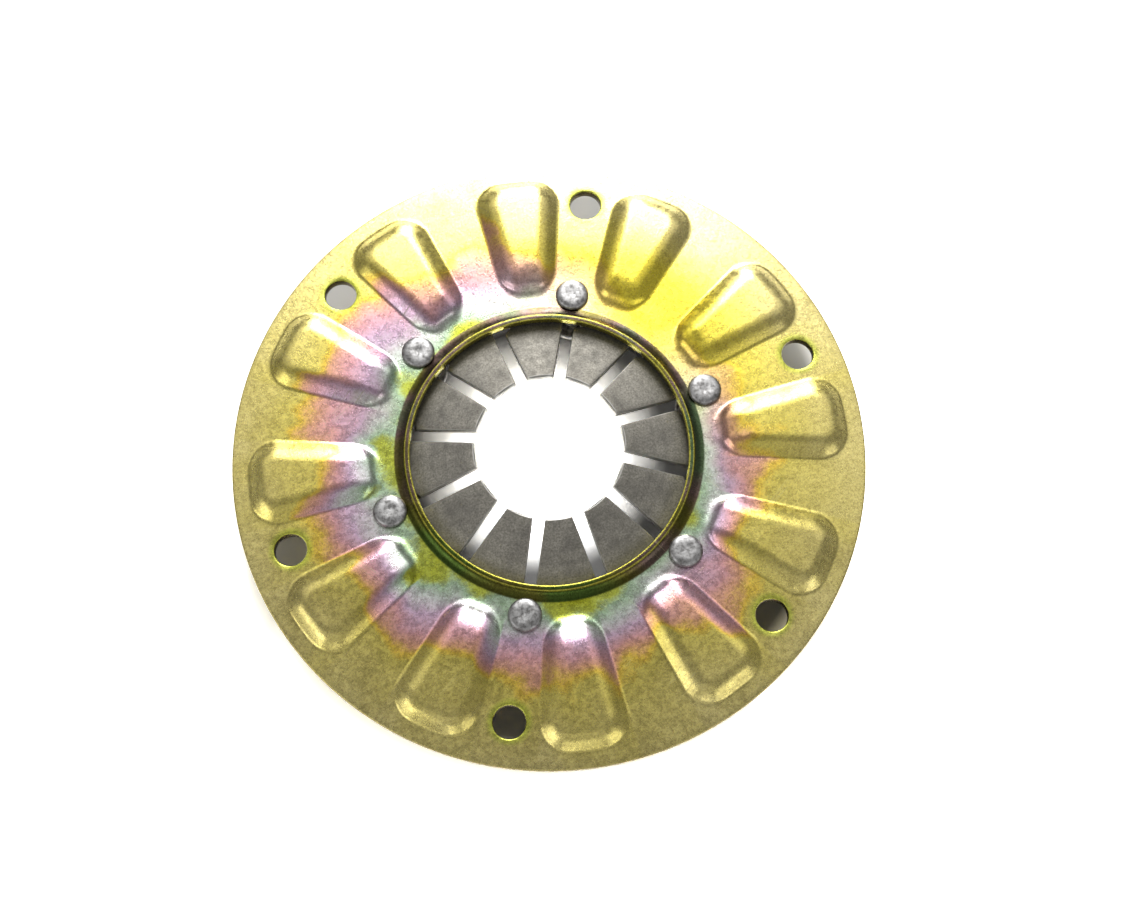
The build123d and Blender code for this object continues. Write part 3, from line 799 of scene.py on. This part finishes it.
def hole_patches(section):
    """The stretches of the grid that are left out round every hole, above and below in turn."""
    patches = []
    for circle_r, hole_r, rounding in HOLES:
        reach = hole_r + rounding + PATCH_MARGIN
        half_columns = int(np.ceil(reach / (circle_r - reach) / (TURN / COLUMNS)))
        for number in range(SECTORS):
            middle = number * COLUMNS // SECTORS
            columns = range(middle - half_columns, middle + half_columns)
            for side in (1, -1):
                near = [
                    i for i, (r, _, face) in enumerate(section)
                    if face == side and abs(r - circle_r) <= reach
                ]
                rows = range(min(near) - 1, max(near) + 1)
                patches.append(Patch(rows, columns, circle_r, number, hole_r, rounding, side))
    return patches


def fill_patch(points, patch, index):
    """Adds rings of points from a patch's outline to the edge of its hole, rounded off. Gives the
    faces between them and the last ring."""
    top, bottom = patch.rows.start, patch.rows.stop
    left, right = patch.columns.start, patch.columns.stop
    loop = [index(top, j) for j in range(left, right)]
    loop += [index(i, right) for i in range(top, bottom)]
    loop += [index(bottom, j) for j in range(right, left, -1)]
    loop += [index(i, left) for i in range(bottom, top, -1)]
    turn = TURN * patch.number / SECTORS
    centre = np.array([patch.circle_r * cos(turn), patch.circle_r * sin(turn)])
    outline = np.array([points[k] for k in loop])
    spokes = outline[:, :2] - centre
    directions = spokes / np.linalg.norm(spokes, axis=1)[:, None]
    level = outline[:, 2].mean()
    round_start = centre + directions * (patch.hole_r + patch.rounding)
    rings = []
    for share in (0.5, 1.0):
        spots = outline[:, :2] * (1 - share) + round_start * share
        rings.append((spots, outline[:, 2] * (1 - share) + level * share))
    for k in range(1, ROUNDING_STEPS + 1):
        turn_down = pi / 2 * k / ROUNDING_STEPS
        spots = centre + directions * (patch.hole_r + patch.rounding * (1 - sin(turn_down)))
        z = level - patch.side * patch.rounding * (1 - cos(turn_down))
        rings.append((spots, [z] * len(spots)))
    faces = []
    for spots, heights in rings:
        ring = list(range(len(points), len(points) + len(spots)))
        points.extend([x, y, z] for (x, y), z in zip(spots, heights))
        faces += band_faces(loop, ring)
        loop = ring
    return faces, loop


def make_cover(material):
    """The pressed cover as one closed skin of rings, with a patch of mesh round every hole."""
    section = cover_section()
    points = cover_points(section)
    patches = hole_patches(section)

    def index(row, column):
        """Number of a point of the grid, which closes on itself both ways."""
        return (row % len(section)) * COLUMNS + column % COLUMNS

    left_out = {(i, j % COLUMNS) for patch in patches for i in patch.rows for j in patch.columns}
    faces = []
    for i in range(len(section)):
        for j in range(COLUMNS):
            if (i, j) not in left_out:
                faces.append((index(i, j), index(i, j + 1), index(i + 1, j + 1), index(i + 1, j)))
    edges = []
    for patch in patches:
        patch_faces, edge = fill_patch(points, patch, index)
        faces += patch_faces
        edges.append(edge)
    # the wall of each hole joins its upper edge to its lower one, which runs the other way round
    for upper, lower in zip(edges[::2], edges[1::2]):
        x, y, _ = points[upper[0]]
        gaps = [np.hypot(points[k][0] - x, points[k][1] - y) for k in lower]
        nearest = gaps.index(min(gaps))
        faces += band_faces(upper, [lower[nearest - k] for k in range(len(lower))])

    cover = new_object("cover_skin", points, faces, material, smooth_below=40)
    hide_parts("cover")
    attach(cover, "cover_assembly")


# ------------------------------------------------------------------ rivets
RIVET_COLUMNS = 48
HEAD_STEP = 0.26
AXIS_R = 0.01                # radius of the small faces that close both ends
CONTACT_GAP = 0.02           # between the rivet and the cover
DOME_FALL = 4.6              # the higher, the flatter the head's middle
DOME_SHARE = 0.55            # the lower, the steeper its edge
HEAD_UNDERSIDE = ((4.40, 0.42), (4.15, 0.22), (3.5, CONTACT_GAP))      # (r, height above the sheet)
FOOT_DIMPLE = ((2.6, 0.0), (2.2, 0.12), (1.2, 0.45), (AXIS_R, 0.5))    # (r, depth)
HAMMERED = 0.040             # height of the head's unevenness
DENT_SHIFT = 0.35            # how far the head's dent lies from its middle
DENT_R = 1.9
DENT_DEPTH = 0.13
DENT_SPREAD = 0.04           # how much deeper or shallower it is on some of the heads
DENT_FADE = 2.718            # the higher, the more sharply it ends


def head_relief(x, y, r, number):
    """How far a head stands off its plain dome: it is hammered, and has a shallow dent."""
    hammered = noise.noise(Vector((x * 0.9, y * 0.9, 7.3 * number)))
    hammered += 0.5 * noise.noise(Vector((x * 2.1, y * 2.1, 3.1 * number + 40)))
    dent = (DENT_SHIFT * cos(2.4 * number), DENT_SHIFT * sin(2.4 * number))
    hollow = ((x - dent[0]) ** 2 + (y - dent[1]) ** 2) / DENT_R**2
    depth = DENT_DEPTH + DENT_SPREAD * sin(3.3 * number)
    uneven = HAMMERED * (hammered - 0.4) * (1 - r / RIVET_HEAD_R) ** 0.5
    return uneven - depth * DENT_FADE**-hollow


def make_rivet(number, material):
    """A shouldered rivet with a low domed head above the sheet and a wide foot below the wires."""
    wire_reach = (HALF_SPRING + WIRE_R + SEAT_GAP) / cos(CONE)
    foot_top = FULCRUM_Z - wire_reach - WIRE_R - SEAT_GAP
    foot_bottom = foot_top - RIVET_FOOT_HEIGHT
    hub_bottom = -DISH_DEPTH
    head = []
    for r in steps_between(0.0, RIVET_HEAD_R, HEAD_STEP):
        fall = (r / RIVET_HEAD_R) ** DOME_FALL
        dome = RIVET_DOME * max(0.0, 1 - fall) ** DOME_SHARE
        head.append((max(AXIS_R, r), HUB_TOP + RIVET_HEAD_EDGE + dome))
    underside = [(r, HUB_TOP + height) for r, height in HEAD_UNDERSIDE]
    shank = [
        (RIVET_NECK_R, HUB_TOP + CONTACT_GAP),
        (RIVET_NECK_R, hub_bottom - CONTACT_GAP / 2),
        (RIVET_SHOULDER_R, hub_bottom - CONTACT_GAP),
        (RIVET_SHOULDER_R, foot_top),
    ]
    rounding = RIVET_FOOT_ROUND
    round_r = RIVET_FOOT_R - rounding
    foot = [(round_r, foot_top)]
    foot += arc((round_r, foot_top - rounding), rounding, 90, 0, ROUNDING_STEPS)[1:]
    foot += arc((round_r, foot_bottom + rounding), rounding, 0, -90, ROUNDING_STEPS)
    foot += [(r, foot_bottom + depth) for r, depth in FOOT_DIMPLE]
    profile = head + underside + shank + foot

    turn = TURN * number / SECTORS
    centre = (RIVET_CIRCLE_R * cos(turn), RIVET_CIRCLE_R * sin(turn))
    points = []
    for i, (r, z) in enumerate(profile):
        for j in range(RIVET_COLUMNS):
            a = TURN * j / RIVET_COLUMNS
            x, y = r * cos(a), r * sin(a)
            relief = head_relief(x, y, r, number) if i < len(head) else 0.0
            points.append((centre[0] + x, centre[1] + y, z + relief))
    faces = tube_faces(len(profile), RIVET_COLUMNS)
    rivet = new_object(f"rivet_{number + 1}", points, faces, material, smooth_below=42)
    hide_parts(f"shouldered_rivet_{number + 1}")
    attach(rivet, "cover_assembly")


# ------------------------------------------------------------------ diaphragm spring
FINGER_STEP = 1.4            # between rows of points on the finger
ROOT_STEP = 1.6              # the same beside the window
WINDOW_STEPS = (0.02, 0.12, 0.32, 0.62, 0.95, 1.3)     # past the start of the window's corner
WIDTH_STEPS = 10
EDGE_SHARES = (0.25, 0.5, 0.75, 1.0)                   # of a quarter turn, on the rounded edges


def cone_radius(along, above):
    """Distance from the part's axis on the free spring: see on_cone."""
    return FULCRUM_R + along * cos(CONE) + above * sin(CONE)


def on_cone(along, turn, above):
    """A point on the free spring: distance down its slope from the fulcrum, angle, height on it."""
    r = cone_radius(along, above)
    z = FULCRUM_Z - along * sin(CONE) + above * cos(CONE)
    return (r * cos(turn), r * sin(turn), z)


def side_offset(r):
    """How far a finger's side stands off the middle line of its slot, or of the slot's window."""
    if r < WINDOW_INNER_R:
        return HALF_SLOT
    into = min(1.0, (r - WINDOW_INNER_R) / WINDOW_CORNER_R)
    return HALF_WINDOW - WINDOW_CORNER_R * (1 - sqrt(1 - (1 - into) ** 2))


def half_width(r):
    """Half the angle that a finger spans at a radius."""
    return TURN / RIBS / 2 - asin(side_offset(r) / r)


def finger_section(along, drawn_in):
    """The closed outline of a finger's cross section, as (angle from its middle, height)."""
    outline = []
    for side in (1, -1):                   # upper face, then the lower face backwards
        level = side * (HALF_SPRING - drawn_in)
        r = cone_radius(along, level)
        flat_half = half_width(r) - FINGER_EDGE / r
        for k in range(WIDTH_STEPS + 1):
            outline.append((side * (-1 + 2 * k / WIDTH_STEPS) * flat_half, level))
        rounded = []
        for share in EDGE_SHARES:
            out = side * (flat_half + FINGER_EDGE * sin(pi / 2 * share) / r)
            rounded.append((out, level - side * FINGER_EDGE * (1 - cos(pi / 2 * share))))
        outline += rounded + [(out, -height) for out, height in reversed(rounded)]
    return outline


def make_finger(number, material):
    """One finger, with rounded edges all round and the window's cut-outs at its root."""
    middle = TURN / RIBS * (number + 0.5)
    tip = (TIP_R - FULCRUM_R - HALF_SPRING * sin(CONE)) / cos(CONE)
    root = (ROOT_R - ROOT_GAP - FULCRUM_R) / cos(CONE)
    window = (WINDOW_INNER_R - FULCRUM_R) / cos(CONE)
    rows = []                      # (place along the slope, how far both faces are drawn in)
    for k in range(ROUNDING_STEPS + 1):
        turn = pi / 2 * k / ROUNDING_STEPS
        rows.append((tip + FINGER_EDGE * (1 - cos(turn)), FINGER_EDGE * (1 - sin(turn))))
    rows += [(s, 0.0) for s in steps_between(tip + FINGER_EDGE, window - 0.01, FINGER_STEP)[1:]]
    rows += [(window + past, 0.0) for past in WINDOW_STEPS]
    rows += [(s, 0.0) for s in steps_between(window + WINDOW_STEPS[-1], root, ROOT_STEP)[1:]]

    points = []
    for along, drawn_in in rows:
        outline = finger_section(along, drawn_in)
        points += [on_cone(along, middle + turn, height) for turn, height in outline]
    faces = tube_faces(len(rows), len(outline))
    label = f"{number + 1:02d}"
    finger = new_object(f"finger_blade_{label}", points, faces, material, smooth_below=50)
    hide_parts(f"diaphragm_finger_{label}")
    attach(finger, f"finger_{label}")


def make_belt(material):
    """The coned belt of the spring, a copy of its CAD mesh. The real one flattens as the pressure
    ring lifts.
    """
    belt = bpy.data.objects.new("spring_belt", frame["nodes"]["diaphragm_belt"].data.copy())
    belt.matrix_world = frame["nodes"]["diaphragm_belt"].matrix_world
    bpy.context.scene.collection.objects.link(belt)
    belt.data.materials.clear()
    belt.data.materials.append(material)
    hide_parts("diaphragm_belt")
    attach(belt, "cover_assembly")
    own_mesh(belt)


# ------------------------------------------------------------------ build
def dress(node, material):
    """Gives a CAD node its finish."""
    slots = frame["nodes"][node].material_slots
    for s in slots:
        s.material = material
    if not slots:
        frame["nodes"][node].data.materials.append(material)


make_camera()
make_studio()

finishes = {
    "yellow_zinc": yellow_zinc(),
    "spring_steel": spring_steel(),
    "rivet_steel": rivet_steel(),
    "wire_steel": drawn_wire(),
    "machined_iron": machined_iron(),
    "clip_steel": blued_strip(),
    "screw_steel": black_oxide(),
}
for part in frame["record"]["subparts"]:
    dress(part["node"], finishes[part["material_slot"]])

make_cover(finishes["yellow_zinc"])
for i in range(SECTORS):
    make_rivet(i, finishes["rivet_steel"])
for i in range(RIBS):
    make_finger(i, finishes["spring_steel"])
make_belt(finishes["spring_steel"])
